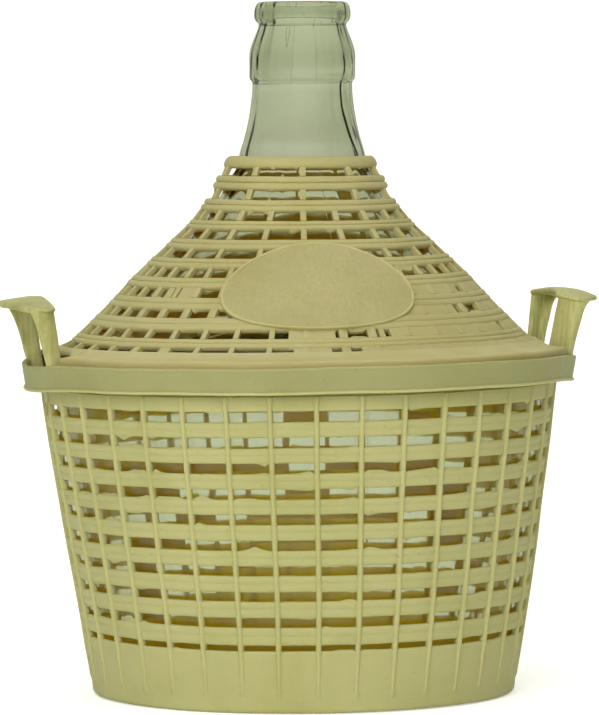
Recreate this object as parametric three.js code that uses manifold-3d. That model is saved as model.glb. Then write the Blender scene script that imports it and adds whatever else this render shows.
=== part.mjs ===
// Plastic-covered demijohn: a glass bottle standing in a tapered moulded basket,
// with a conical moulded cover over its shoulder and two upright carrying handles
// on the basket's rim. Millimetres, +Z up, origin at the centre of the underside.
// The handles stand on the X axis and the oval plate of the cover faces -Y.

import * as THREE from 'three';
import { mergeVertices } from 'three/addons/utils/BufferGeometryUtils.js';
import Module from 'manifold-3d';

const wasm = await Module();
wasm.setup();

// ---------------------------------------------------------------- dimensions
const SEGMENTS = 48;            // facets round the turned pieces
const TOTAL_HEIGHT = 320;       // floor to the mouth of the bottle

// lower basket
const FLOOR_T = 2.5;            // floor thickness
const WALL_T = 2.2;             // wall thickness of the basket
const LEDGE_Z = 142.4;          // underside of the rim ledge
const LEDGE_T = 2.4;            // thickness of the rim ledge
const BAND_TOP_Z = 154.4;       // upper edge of the rim band
const BAND_R_LOW = 126.9;       // outer radius of the band at the ledge
const BAND_R_TOP = 127.9;       // outer radius of the band at its upper edge
const BAND_T = 2.2;             // thickness of the band
// outer wall of the basket, radius and height
const BASKET_WALL = [
  [92.6, 0.0], [95.4, 1.1], [96.8, 3.4], [98.9, 10.2], [101.3, 21.3], [105.0, 43.5],
  [108.6, 65.7], [112.2, 90.6], [115.7, 112.8], [119.1, 137.8], [119.6, LEDGE_Z],
];

// upper cover
const COVER_T = 2.4;            // thickness of the cover
const COVER_GAP = 1.0;          // gap between the cover and the glass shoulder
const BRIM_R = 124.2;           // outer radius of the brim's skirt
const SKIRT_T = 2.0;            // thickness of the skirt
const SKIRT_Z = 145.2;          // lower edge of the skirt, just above the ledge
const BRIM_Z = 155.6;           // height of the brim's outer edge
const RING_R_IN = 31.2;         // inner radius of the neck ring
const RING_TOP_Z = 249.3;       // top of the neck ring
// outer face of the cover from the neck ring down to the foot of the cone
const COVER_CURVE = [
  [34.8, 246.4], [38.0, 240.2], [40.6, 234.2], [43.6, 228.6], [48.0, 222.4], [53.0, 216.6],
  [58.9, 211.0], [65.2, 205.2], [71.8, 199.0], [78.4, 192.6], [85.0, 185.4], [92.0, 178.0],
  [99.6, 170.6], [107.0, 163.4],
];
const NOTCH_R = 116.3;          // the brim is cut away outside this radius at each handle
const NOTCH_HALF_W = 40.0;      // half the width of each notch

// oval plate on the cover
const PLATE_HALF_W = 43.0;
const PLATE_HALF_H = 20.6;
const PLATE_Z = 191.2;
const PLATE_X = -4.9;           // the plate sits a little off the middle plane
const PLATE_T = 1.0;            // how far it stands proud

// handles
const HANDLE_HALF_W = 37.5;     // half the overall width
const FINGER_HALF_W = 22.5;     // half the width of the finger gap
const HANDLE_TOP_Z = 185.0;     // crown of the arched bar
const HANDLE_FOOT_Z = LEDGE_Z + LEDGE_T + 0.3;
const LIP_R = 139.2;            // reach of the flared lip
// upright section of a handle, radius and height
const HANDLE_SECTION = [
  [117.7, HANDLE_FOOT_Z], [124.2, HANDLE_FOOT_Z], [124.3, 156.5], [127.6, 167.0], [130.6, 174.0],
  [133.6, 178.2], [136.8, 180.2], [LIP_R, 181.2], [LIP_R, 183.2], [134.0, 184.5],
  [128.0, HANDLE_TOP_Z], [122.0, HANDLE_TOP_Z], [120.2, 183.4], [119.0, 166.0],
];

// glass bottle
const GLASS_T = 3.2;            // general wall of the glass
const FOOT_Z = FLOOR_T + 0.3;   // the foot stands just above the basket floor
const BORE_R = 15.5;            // bore of the mouth
// foot, heel and body of the bottle, up to the start of the shoulder
const BOTTLE_BODY = [
  [0.0, 6.6], [58.0, 5.6], [70.0, FOOT_Z], [83.0, FOOT_Z], [89.8, 5.4], [93.9, 12.0],
  [101.3, 45.0], [108.4, 91.0], [112.4, 125.0], [112.5, 138.0], [108.2, 152.4],
];
// neck and finish, from the cover's ring up to the mouth
const BOTTLE_NECK = [
  [30.1, 244.0], [28.9, 250.6], [24.7, 265.4], [22.8, 278.0], [23.0, 282.6], [24.6, 283.8],
  [24.8, 296.0], [23.9, 299.6], [20.4, 307.2], [20.1, 309.8], [22.1, 312.2], [22.0, 316.4],
  [20.2, 319.3], [18.2, TOTAL_HEIGHT],
];
// inside of the neck, from the mouth down to the shoulder
const BOTTLE_BORE = [
  [BORE_R + 0.9, TOTAL_HEIGHT], [BORE_R, 318.6], [BORE_R + 0.3, 300.0], [19.4, 276.0],
  [25.6, 250.6], [26.9, 243.6],
];

// colours
const CREAM_COVER = 0xcdbf95;
const CREAM_BASKET = 0xc6bd88;
const GLASS = 0xc3cdb4;

// ------------------------------------------------------------------ helpers
// Points moved by d to the right-hand side of the direction of travel along (radius, height).
function offsetCurve(points, d) {
  return points.map((p, i) => {
    const a = points[Math.max(0, i - 1)];
    const b = points[Math.min(points.length - 1, i + 1)];
    const tx = b[0] - a[0];
    const tz = b[1] - a[1];
    const l = Math.hypot(tx, tz);
    return [p[0] + (tz / l) * d, p[1] - (tx / l) * d];
  });
}

function toManifold(geometry) {
  let g = geometry.clone();
  g.deleteAttribute('normal');
  g.deleteAttribute('uv');
  g = mergeVertices(g, 1e-4);
  return new wasm.Manifold(new wasm.Mesh({
    numProp: 3,
    vertProperties: new Float32Array(g.attributes.position.array),
    triVerts: new Uint32Array(g.index.array),
  }));
}

function toGeometry(solid) {
  const mesh = solid.getMesh();
  const g = new THREE.BufferGeometry();
  g.setAttribute('position', new THREE.BufferAttribute(new Float32Array(mesh.vertProperties), 3));
  g.setIndex(new THREE.BufferAttribute(new Uint32Array(mesh.triVerts), 1));
  g.computeVertexNormals();
  return g;
}

// A closed (radius, height) outline turned about the Z axis.
function turned(outline, closed) {
  const pts = outline.map(([r, z]) => new THREE.Vector2(r, z));
  if (closed) pts.push(pts[0].clone());
  const g = new THREE.LatheGeometry(pts, SEGMENTS);
  g.rotateX(Math.PI / 2);
  let s = toManifold(g);
  if (s.volume() < 0) {
    const flip = g.toNonIndexed();
    const a = flip.attributes.position.array;
    for (let i = 0; i < a.length; i += 9) {
      for (let k = 0; k < 3; k += 1) {
        const t = a[i + 3 + k];
        a[i + 3 + k] = a[i + 6 + k];
        a[i + 6 + k] = t;
      }
    }
    s = toManifold(flip);
  }
  return s;
}

// An outline in the (y, z) plane extruded along X from x0 to x1.
function alongX(shape, x0, x1, curveSegments = 6) {
  const g = new THREE.ExtrudeGeometry(shape, { depth: x1 - x0, bevelEnabled: false, curveSegments });
  const m = new THREE.Matrix4().set(
    0, 0, 1, x0,
    1, 0, 0, 0,
    0, 1, 0, 0,
    0, 0, 0, 1,
  );
  g.applyMatrix4(m);
  return toManifold(g);
}

function piece(name, solid, color, roughness, extra = {}) {
  const material = new THREE.MeshStandardMaterial({ color, roughness, metalness: 0, ...extra });
  const mesh = new THREE.Mesh(toGeometry(solid), material);
  mesh.name = name;
  return mesh;
}

// ------------------------------------------------------------- lower basket
const basketInner = offsetCurve(BASKET_WALL.slice(3), -WALL_T).reverse();
const basket = turned([
  [0, 0],
  ...BASKET_WALL,
  [BAND_R_LOW, LEDGE_Z],
  [BAND_R_TOP, BAND_TOP_Z],
  [BAND_R_TOP - BAND_T, BAND_TOP_Z],
  [BAND_R_LOW - BAND_T + 0.2, LEDGE_Z + LEDGE_T],
  [basketInner[0][0] + 0.2, LEDGE_Z + LEDGE_T],
  ...basketInner,
  [93.4, FLOOR_T],
  [0, FLOOR_T],
], false);

// -------------------------------------------------------------- upper cover
const everyOther = (points) => points.filter((p, i) => i % 2 === 1);
const coverInner = everyOther(offsetCurve(COVER_CURVE, COVER_T));
const coverOutline = [
  [RING_R_IN, RING_TOP_Z],
  [33.2, RING_TOP_Z],
  ...COVER_CURVE,
  [112.4, 160.2],
  [BRIM_R, BRIM_Z],
  [BRIM_R, SKIRT_Z],
  [BRIM_R - SKIRT_T, SKIRT_Z],
  [BRIM_R - SKIRT_T, BRIM_Z - 1.6],
  [111.6, 157.7],
  ...[...coverInner].reverse(),
  [RING_R_IN, 243.6],
];
let cover = turned(coverOutline, true);

// oval plate: the part of a slightly larger cone that lies inside an oval facing -Y
const plateShape = new THREE.Shape();
plateShape.absellipse(0, 0, PLATE_HALF_W, PLATE_HALF_H, 0, Math.PI * 2);
const platePrism = new THREE.ExtrudeGeometry(plateShape, { depth: 120, bevelEnabled: false, curveSegments: 28 });
platePrism.applyMatrix4(new THREE.Matrix4().set(
  1, 0, 0, PLATE_X,
  0, 0, -1, 0,
  0, 1, 0, PLATE_Z,
  0, 0, 0, 1,
));
const plateShell = turned([
  ...offsetCurve(COVER_CURVE, -PLATE_T),
  ...offsetCurve(COVER_CURVE, COVER_T * 0.5).reverse(),
], true);
cover = cover.add(plateShell.intersect(toManifold(platePrism)));

// notches in the brim, open outwards, that let the cover lift past the handles
const notchRing = turned([[NOTCH_R, 138], [150, 138], [150, 168], [NOTCH_R, 168]], true);
const notchShape = new THREE.Shape([
  new THREE.Vector2(-NOTCH_HALF_W, 130), new THREE.Vector2(NOTCH_HALF_W, 130),
  new THREE.Vector2(NOTCH_HALF_W, 175), new THREE.Vector2(-NOTCH_HALF_W, 175),
]);
for (const [x0, x1] of [[90, 160], [-160, -90]]) {
  cover = cover.subtract(notchRing.intersect(alongX(notchShape, x0, x1)));
}

// ------------------------------------------------------------------ handles
// An arched loop seen along X: two posts under a bar that rises to its middle.
function loopShape() {
  const w = HANDLE_HALF_W;
  const f = FINGER_HALF_W;
  const z0 = HANDLE_FOOT_Z - 2;
  const s = new THREE.Shape();
  s.moveTo(-w, z0);
  s.lineTo(-f, z0);
  s.lineTo(-f, 174.6);
  s.quadraticCurveTo(-f, 179.4, -f + 6, 180.1);
  s.quadraticCurveTo(0, 182.1, f - 6, 180.1);
  s.quadraticCurveTo(f, 179.4, f, 174.6);
  s.lineTo(f, z0);
  s.lineTo(w, z0);
  s.lineTo(w, 176.5);
  s.quadraticCurveTo(w, 181.4, w - 5, 182.2);
  s.quadraticCurveTo(0, HANDLE_TOP_Z * 2 - 182.2 + 0.6, -w + 5, 182.2);
  s.quadraticCurveTo(-w, 181.4, -w, 176.5);
  s.closePath();
  return s;
}
const handleRing = turned(HANDLE_SECTION, true);
const handleRight = handleRing.intersect(alongX(loopShape(), 100, 160));
const handleLeft = handleRing.intersect(alongX(loopShape(), -160, -100));

// ------------------------------------------------------------- glass bottle
// the shoulder follows the inside of the cover at a small gap
const shoulder = everyOther(offsetCurve(COVER_CURVE, COVER_T + COVER_GAP)).reverse();
const bodyInner = everyOther(offsetCurve(BOTTLE_BODY.slice(4), -GLASS_T));
const shoulderInner = everyOther(offsetCurve(shoulder, -GLASS_T));
const bottle = turned([
  ...BOTTLE_BODY,
  ...shoulder,
  ...BOTTLE_NECK,
  ...BOTTLE_BORE,
  ...shoulderInner.reverse(),
  ...bodyInner.reverse(),
  [84.0, 8.6],
  [58.0, 9.6],
  [0, 10.8],
], false);

// ----------------------------------------------------------------- assembly
const demijohn = new THREE.Group();
demijohn.name = 'demijohn';
demijohn.add(piece('lower_basket', basket, CREAM_BASKET, 0.5));
demijohn.add(piece('handle_right', handleRight, CREAM_BASKET, 0.5));
demijohn.add(piece('handle_left', handleLeft, CREAM_BASKET, 0.5));
demijohn.add(piece('glass_bottle', bottle, GLASS, 0.05, { transparent: true, opacity: 0.45 }));
demijohn.add(piece('upper_cover', cover, CREAM_COVER, 0.5));

export default demijohn;
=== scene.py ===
import math

import bpy
import numpy as np
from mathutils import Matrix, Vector, noise


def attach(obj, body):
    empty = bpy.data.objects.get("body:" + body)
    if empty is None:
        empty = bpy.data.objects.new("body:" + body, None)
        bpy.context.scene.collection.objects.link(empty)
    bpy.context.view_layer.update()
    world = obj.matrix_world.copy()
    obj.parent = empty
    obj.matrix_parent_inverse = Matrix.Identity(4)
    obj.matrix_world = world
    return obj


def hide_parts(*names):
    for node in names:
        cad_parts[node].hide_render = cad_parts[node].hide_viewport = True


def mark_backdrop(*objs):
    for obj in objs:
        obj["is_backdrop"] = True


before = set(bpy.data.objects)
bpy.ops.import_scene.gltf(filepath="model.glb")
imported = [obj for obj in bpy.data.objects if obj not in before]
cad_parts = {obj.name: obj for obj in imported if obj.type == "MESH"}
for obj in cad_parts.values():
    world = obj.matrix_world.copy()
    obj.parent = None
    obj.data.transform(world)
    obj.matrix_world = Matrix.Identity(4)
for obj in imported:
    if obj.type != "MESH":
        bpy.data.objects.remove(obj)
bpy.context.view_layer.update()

scene = bpy.context.scene
MM = 0.001
RNG = np.random.default_rng(7)
noise.seed_set(7)

# ------------------------------------------------------------------ measures
# millimetres, +Z up; azimuths in degrees from -Y towards +X
VIEW_AZ = -10.0                 # the viewer's azimuth
CELLS = 36                      # lattice cells round the basket

# outline of the basket at the crest of its ribs, from the rim down to the foot
BASKET_OUTLINE = [
    (120.1, 147.0), (119.6, 142.6), (119.05, 137.8), (115.75, 112.8), (112.3, 90.6), (108.7, 65.7),
    (105.1, 43.5), (101.5, 21.3), (99.7, 10.6), (99.0, 6.2), (98.55, 3.6), (98.0, 1.7), (96.9, 0.5),
    (95.0, 0.02), (91.0, 0.0), (84.0, 0.0),
]
BASKET_ROWS = [  # middle height and height of each row of windows
    (134.3, 5.1), (122.65, 5.1), (111.05, 5.1), (99.4, 5.1), (87.95, 4.95), (76.3, 4.9),
    (64.8, 4.75), (53.1, 4.7), (41.35, 4.7), (29.85, 3.0),
]
BASKET_RIB0 = -6.2              # azimuth of one rib
RIB_HALF = 1.25                 # half the width of a basket rib
RIB_H = 0.95                    # how far the ribs stand in front of the bars
LEDGE_Z = 144.7
BAND_TOP = 156.6

# outline of the cover, from the neck ring down to the brim
COVER_OUTLINE = [
    (32.9, 249.2), (34.8, 246.4), (38.0, 240.2), (40.6, 234.2), (43.6, 228.6), (48.0, 222.4),
    (53.0, 216.6), (58.9, 211.0), (65.2, 205.2), (71.8, 199.0), (78.4, 192.6), (85.0, 185.4),
    (92.0, 178.0), (99.6, 170.6), (107.0, 163.8), (111.0, 161.6), (113.0, 160.7),
]
COVER_CELLS = 40
COVER_ROWS = [  # upper edge, lower edge and number of ribs of each row of windows
    (244.4, 240.2, 10), (234.2, 229.4, 10), (224.5, 219.9, 20), (216.2, 211.6, 20), (207.6, 203.3, 20),
    (199.4, 195.0, 40), (190.7, 186.3, 40), (181.6, 177.6, 40), (172.6, 168.6, 40), (165.0, 161.8, 40),
]
COVER_RIB0 = -8.2
PLATE_AZ, PLATE_Z, PLATE_A, PLATE_B = -3.85, 191.2, 44.9, 26.6
SEAM_AZ = 5.5                   # azimuth of the mould seam of the glass


# -------------------------------------------------------------------- curves
def smooth_points(points, step=0.3):
    """A centripetal Catmull-Rom curve through the points, sampled finely."""
    p = np.array(points, float)
    e = np.vstack([2 * p[0] - p[1], p, 2 * p[-1] - p[-2]])
    out = []
    for k in range(1, len(e) - 2):
        p0, p1, p2, p3 = e[k - 1], e[k], e[k + 1], e[k + 2]
        t0 = 0.0
        t1 = t0 + np.linalg.norm(p1 - p0) ** 0.5
        t2 = t1 + np.linalg.norm(p2 - p1) ** 0.5
        t3 = t2 + np.linalg.norm(p3 - p2) ** 0.5
        n = max(2, int(np.linalg.norm(p2 - p1) / step))
        for t in np.linspace(t1, t2, n, endpoint=False):
            a1 = (t1 - t) / (t1 - t0) * p0 + (t - t0) / (t1 - t0) * p1
            a2 = (t2 - t) / (t2 - t1) * p1 + (t - t1) / (t2 - t1) * p2
            a3 = (t3 - t) / (t3 - t2) * p2 + (t - t2) / (t3 - t2) * p3
            b1 = (t2 - t) / (t2 - t0) * a1 + (t - t0) / (t2 - t0) * a2
            b2 = (t3 - t) / (t3 - t1) * a2 + (t - t1) / (t3 - t1) * a3
            out.append((t2 - t) / (t2 - t1) * b1 + (t - t1) / (t2 - t1) * b2)
    out.append(e[-2])
    return np.array(out)


class Outline:
    """A (radius, height) curve that runs downwards, read by its length or by height."""

    def __init__(self, points):
        p = smooth_points(points)
        self.r, self.z = p[:, 0], p[:, 1]
        d = np.hypot(np.diff(self.r), np.diff(self.z))
        self.s = np.r_[0.0, np.cumsum(d)]
        tr, tz = np.gradient(self.r, self.s), np.gradient(self.z, self.s)
        ln = np.hypot(tr, tz)
        self.nr, self.nz = -tz / ln, tr / ln

    def at_height(self, z):
        return np.interp(-np.asarray(z, float), -self.z, self.s)

    def at(self, t):
        return tuple(np.interp(t, self.s, v) for v in (self.r, self.z, self.nr, self.nz))


# -------------------------------------------------------------------- meshes
def settle(v):
    """Points of the object in mm, moved as the soft plastic stands: a little askew to the viewer's left."""
    v = np.array(v, float)
    c, s = math.cos(math.radians(VIEW_AZ)), math.sin(math.radians(VIEW_AZ))
    u = v[:, 0] * c + v[:, 1] * s
    shift = np.interp(v[:, 2], [0, 20, 50, 90, 140, 160, 185, 215], [0.3, 0.4, 0.35, -0.35, -1.1, -1.0, -0.45, 0.0])
    tilt = np.interp(v[:, 2], [15, 70, 120, 150, 188, 226], [0.0, 0.0035, 0.0075, 0.0085, 0.0085, 0.0])
    v[:, 0] += shift * c
    v[:, 1] += shift * s
    v[:, 2] += tilt * u
    return v


def add_object(name, verts_mm, faces, material, sharp=42.0, kinds=None, askew=True):
    """A mesh object; material is one material or a list that kinds, one number for each face, chooses from."""
    me = bpy.data.meshes.new(name)
    verts_mm = settle(verts_mm) if askew else np.asarray(verts_mm, float)
    me.from_pydata((verts_mm * MM).tolist(), [], [list(map(int, f)) for f in faces])
    for m in material if isinstance(material, list) else [material]:
        me.materials.append(m)
    if kinds is not None:
        me.polygons.foreach_set("material_index", np.asarray(kinds, np.int32))
    me.update()
    me.polygons.foreach_set("use_smooth", np.ones(len(me.polygons), bool))
    me.set_sharp_from_angle(angle=math.radians(sharp))
    ob = bpy.data.objects.new(name, me)
    scene.collection.objects.link(ob)
    return ob


def wobble(v, size, scale, seed=0.0):
    """Points moved a little by smooth noise, in millimetres."""
    out = np.array(v, float)
    for k in range(len(out)):
        p = out[k] / scale
        out[k] += size * np.array(noise.noise_vector((p[0] + seed, p[1] - seed, p[2] + 3.1 * seed)))
    return out


def join_parts(parts):
    verts, faces, n = [], [], 0
    for v, f in parts:
        v = np.asarray(v, float)
        verts.append(v)
        faces += [[int(i) + n for i in q] for q in f]
        n += len(v)
    return np.vstack(verts), faces


def turned(outline, segments=180, a0=None, a1=None, extra=()):
    """A closed (radius, height) outline, counter-clockwise with radius to the right, turned about Z
    or swept from azimuth a0 to a1 with closed ends."""
    o = np.array(outline, float)
    m = len(o)
    full = a0 is None
    if full:
        ang = np.linspace(0, 2 * np.pi, segments, endpoint=False)
        if len(extra):
            ang = np.unique(np.round(np.r_[ang, np.radians(np.array(extra)) % (2 * np.pi)], 6))
    else:
        ang = np.radians(np.linspace(a0, a1, segments))
    n = len(ang)
    v = np.zeros((n, m, 3))
    v[:, :, 0] = np.sin(ang)[:, None] * o[None, :, 0]
    v[:, :, 1] = -np.cos(ang)[:, None] * o[None, :, 0]
    v[:, :, 2] = o[None, :, 1]
    faces = []
    for i in range(n if full else n - 1):
        k = (i + 1) % n
        for j in range(m):
            l = (j + 1) % m
            faces.append((i * m + j, k * m + j, k * m + l, i * m + l))
    if not full:
        faces.append(tuple(range(m - 1, -1, -1))[::-1][::-1])
        faces.append(tuple((n - 1) * m + j for j in range(m)))
    return v.reshape(-1, 3), faces


def turned_solid(outline, segments=180, extra=()):
    """An open outline from the axis back to the axis, turned about Z into a closed solid."""
    o = np.array(outline, float)
    m = len(o) - 2
    ang = np.linspace(0, 2 * np.pi, segments, endpoint=False)
    if len(extra):
        ang = np.unique(np.round(np.r_[ang, np.radians(np.array(extra)) % (2 * np.pi)], 6))
    n = len(ang)
    body = o[1:-1]
    v = np.zeros((n, m, 3))
    v[:, :, 0] = np.sin(ang)[:, None] * body[None, :, 0]
    v[:, :, 1] = -np.cos(ang)[:, None] * body[None, :, 0]
    v[:, :, 2] = body[None, :, 1]
    v = np.vstack([v.reshape(-1, 3), [[0, 0, o[0, 1]], [0, 0, o[-1, 1]]]])
    lo, hi = n * m, n * m + 1
    faces = []
    for i in range(n):
        k = (i + 1) % n
        faces.append((lo, k * m, i * m))
        for j in range(m - 1):
            faces.append((i * m + j, k * m + j, k * m + j + 1, i * m + j + 1))
        faces.append((hi, i * m + m - 1, k * m + m - 1))
    return v, faces, ang


def outward(ob):
    """Face normals made consistent, pointing out of the solid."""
    import bmesh
    bm = bmesh.new()
    bm.from_mesh(ob.data)
    bmesh.ops.recalc_face_normals(bm, faces=bm.faces)
    bm.to_mesh(ob.data)
    bm.free()
    ob.data.update()


def lattice(outline, T, A, OUT, THK, hole, inner_rows):
    """A wall with windows: an outer and an inner grid, joined round every window and at both ends.
    T, A, OUT, THK are (rows, columns): place along the outline, azimuth, outward and inward offset.
    hole marks the faces between row j and j + 1 that are left open. The last result is 1 for the inner faces."""
    M, N = T.shape
    r, z, nr, nz = outline.at(T)
    ro, zo, ri, zi = r + OUT * nr, z + OUT * nz, r - THK * nr, z - THK * nz
    v = np.concatenate([
        np.stack([ro * np.sin(A), -ro * np.cos(A), zo], -1).reshape(-1, 3),
        np.stack([ri * np.sin(A), -ri * np.cos(A), zi], -1).reshape(-1, 3),
    ])
    o = lambda j, i: j * N + i % N
    n = lambda j, i: M * N + j * N + i % N
    faces = []
    for j in range(M - 1):
        for i in range(N):
            if not hole[j, i]:
                faces.append((o(j, i), o(j + 1, i), o(j + 1, i + 1), o(j, i + 1)))
    outer = len(faces)
    rows = [j for j in range(M) if inner_rows[j]]
    for j, k in zip(rows, rows[1:]):
        for i in range(N):
            if not hole[j, i]:
                faces.append((n(j, i), n(j, i + 1), n(k, i + 1), n(k, i)))
    inside = len(faces)
    for j in range(M - 1):
        for i in np.nonzero(hole[j])[0]:
            i = int(i)
            if not hole[j, i - 1]:
                faces.append((o(j, i), o(j + 1, i), n(j + 1, i), n(j, i)))
            if not hole[j, (i + 1) % N]:
                faces.append((o(j + 1, i + 1), o(j, i + 1), n(j, i + 1), n(j + 1, i + 1)))
            faces.append((o(j, i + 1), o(j, i), n(j, i), n(j, i + 1)))
            faces.append((o(j + 1, i), o(j + 1, i + 1), n(j + 1, i + 1), n(j + 1, i)))
    for i in range(N):
        faces.append((o(0, i), o(0, i + 1), n(0, i + 1), n(0, i)))
        faces.append((o(M - 1, i + 1), o(M - 1, i), n(M - 1, i), n(M - 1, i + 1)))
    kinds = np.zeros(len(faces), int)
    kinds[outer:inside] = 1
    used = np.zeros(len(v), bool)
    for f in faces:
        used[list(f)] = True
    index = np.cumsum(used) - 1
    return v[used], [tuple(index[list(f)]) for f in faces], kinds


RIB_F = np.array([-1.0, -0.6, 0.0, 0.6])              # columns on a rib, the last edge is the next list's start
WIN_W = np.array([0.0, 0.12, 0.3, 0.5, 0.7, 0.88])    # columns across a window, from edge to edge
NR, NW = len(RIB_F), len(WIN_W)
PER = NR + NW


class Columns:
    """The columns of a lattice with the given number of cells: where each stands, and what it belongs to."""

    def __init__(self, cells, rib0):
        self.cells, self.rib0 = cells, rib0
        f = np.tile(np.r_[RIB_F, 1.0, np.full(NW - 1, np.nan)], cells)
        self.is_rib = ~np.isnan(f)
        self.f = np.nan_to_num(f, nan=1.0)
        self.arch = np.where(self.is_rib, np.sqrt(np.clip(1 - self.f ** 2, 0, 1)), 0.0)
        self.face_rib = np.tile(np.r_[np.ones(NR, bool), np.zeros(NW, bool)], cells)
        self.cell = np.repeat(np.arange(cells), PER)
        self.face_w = np.tile(np.r_[np.full(NR, -1), np.arange(NW)], cells)

    def azimuths(self, half, radius, jitter):
        """Azimuth of every column in a row, for ribs of the given half width (mm) at that radius."""
        pitch = 2 * np.pi / self.cells
        rib = np.radians(self.rib0) + pitch * np.arange(self.cells) + jitter
        h = half / radius
        nxt = np.r_[rib[1:], rib[0] + 2 * np.pi]
        return np.concatenate([
            rib[:, None] + RIB_F[None, :] * h,
            (rib + h)[:, None] + (nxt - rib - 2 * h)[:, None] * WIN_W[None, :],
        ], axis=1).reshape(-1)


def flash(rows, cells, share, reach):
    """Bits of flash on the edges of some windows, in mm: (rows, upper or lower edge, cells, columns)."""
    out = np.abs(RNG.normal(0, 0.07, (rows, 2, cells, NW)))
    for k in range(rows):
        for c in range(cells):
            for side in (0, 1):
                if RNG.random() < share[side]:
                    kind, size, at = RNG.integers(4), RNG.uniform(0.3, 1.0) * reach, RNG.random()
                    if kind == 0:      # a lump
                        out[k, side, c] += size * np.exp(-((WIN_W - at) / RNG.uniform(0.1, 0.22)) ** 2)
                    elif kind == 1:    # a filled corner
                        out[k, side, c] += 0.8 * size * np.clip(1 - np.abs(WIN_W - round(at)) / RNG.uniform(0.2, 0.45), 0, 1)
                    elif kind == 2:    # a ledge along part of the edge
                        out[k, side, c] += 0.45 * size * (np.abs(WIN_W - at) < RNG.uniform(0.15, 0.4))
                    else:              # a slope
                        out[k, side, c] += 0.6 * size * (WIN_W if at > 0.5 else 1 - WIN_W)
            out[k, :, c] *= np.minimum(1.0, 1.2 * reach / np.maximum(out[k, :, c].sum(0), 1e-6))
    return out


# ----------------------------------------------------------------- materials
class Nodes:
    def __init__(self, name):
        self.mat = bpy.data.materials.new(name)
        self.mat.use_nodes = True
        self.t = self.mat.node_tree
        self.p = self.t.nodes["Principled BSDF"]

    def new(self, kind, **props):
        n = self.t.nodes.new(kind)
        for k, v in props.items():
            setattr(n, k, v)
        return n

    def link(self, a, b):
        self.t.links.new(a, b)

    def coords(self, scale=(1, 1, 1)):
        c = self.new("ShaderNodeTexCoord")
        m = self.new("ShaderNodeMapping")
        m.inputs["Scale"].default_value = scale
        self.link(c.outputs["Object"], m.inputs["Vector"])
        return m.outputs["Vector"]

    def noise(self, vector, scale, detail=4.0, rough=0.55, distort=0.0):
        n = self.new("ShaderNodeTexNoise")
        n.inputs["Scale"].default_value = scale
        n.inputs["Detail"].default_value = detail
        n.inputs["Roughness"].default_value = rough
        n.inputs["Distortion"].default_value = distort
        self.link(vector, n.inputs["Vector"])
        return n.outputs["Fac"]

    def ramp(self, fac, stops):
        r = self.new("ShaderNodeValToRGB")
        e = r.color_ramp.elements
        while len(e) < len(stops):
            e.new(0.5)
        for k, (pos, col) in enumerate(stops):
            e[k].position = pos
            e[k].color = (*col, 1.0) if len(col) == 3 else col
        self.link(fac, r.inputs["Fac"])
        return r.outputs["Color"]

    def mix(self, fac, a, b, mode="MIX"):
        m = self.new("ShaderNodeMix", data_type="RGBA", blend_type=mode)
        for value, socket in ((fac, m.inputs[0]), (a, m.inputs[6]), (b, m.inputs[7])):
            if isinstance(value, (int, float)):
                socket.default_value = value
            elif isinstance(value, tuple):
                socket.default_value = (*value, 1.0)
            else:
                self.link(value, socket)
        return m.outputs[2]

    def remap(self, fac, lo, hi, a=0.0, b=1.0):
        m = self.new("ShaderNodeMapRange")
        for k, v in enumerate((lo, hi, a, b)):
            m.inputs[k + 1].default_value = v
        self.link(fac, m.inputs[0])
        return m.outputs[0]

    def bump(self, height, strength, distance, under=None):
        b = self.new("ShaderNodeBump")
        b.inputs["Strength"].default_value = strength
        b.inputs["Distance"].default_value = distance
        self.link(height, b.inputs["Height"])
        if under is not None:
            self.link(under, b.inputs["Normal"])
        return b.outputs["Normal"]


def plastic(name, pale, deep, warm, streak=(6, 6, 60), rough=(0.42, 0.6), grain=0.10, glow=(0.45, 0.004), depth=(1.0, 0.74, 0.32)):
    """Moulded polyethylene: cloudy colour, flow streaks, specks of dirt and a fine grain."""
    n = Nodes(name)
    o = n.coords()
    cloud = n.noise(o, 22.0, 5.0, 0.6, 0.4)
    fine = n.noise(o, 260.0, 3.0, 0.6)
    flow = n.noise(n.coords(streak), 18.0, 4.0, 0.6, 0.3)
    colour = n.ramp(cloud, [(0.30, deep), (0.52, pale), (0.74, warm)])
    colour = n.mix(n.remap(flow, 0.42, 0.72, 0.0, grain), colour, deep)
    colour = n.mix(n.remap(fine, 0.56, 0.74, 0.0, 0.35), colour, warm)
    speck = n.noise(o, 620.0, 2.0, 0.5)
    colour = n.mix(n.remap(speck, 0.70, 0.78, 0.0, 0.5), colour, tuple(0.45 * c for c in deep))
    n.link(colour, n.p.inputs["Base Color"])
    n.link(n.remap(n.noise(o, 90.0, 4.0), 0.3, 0.75, *rough), n.p.inputs["Roughness"])
    first = n.bump(flow, grain * 0.5, 0.0006)
    n.link(n.bump(fine, 0.18, 0.0004, first), n.p.inputs["Normal"])
    n.p.inputs["IOR"].default_value = 1.5
    n.p.inputs["Specular IOR Level"].default_value = 0.42
    n.p.inputs["Subsurface Weight"].default_value = glow[0]
    n.p.inputs["Subsurface Radius"].default_value = depth
    n.p.inputs["Subsurface Scale"].default_value = glow[1]
    return n.mat


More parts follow.
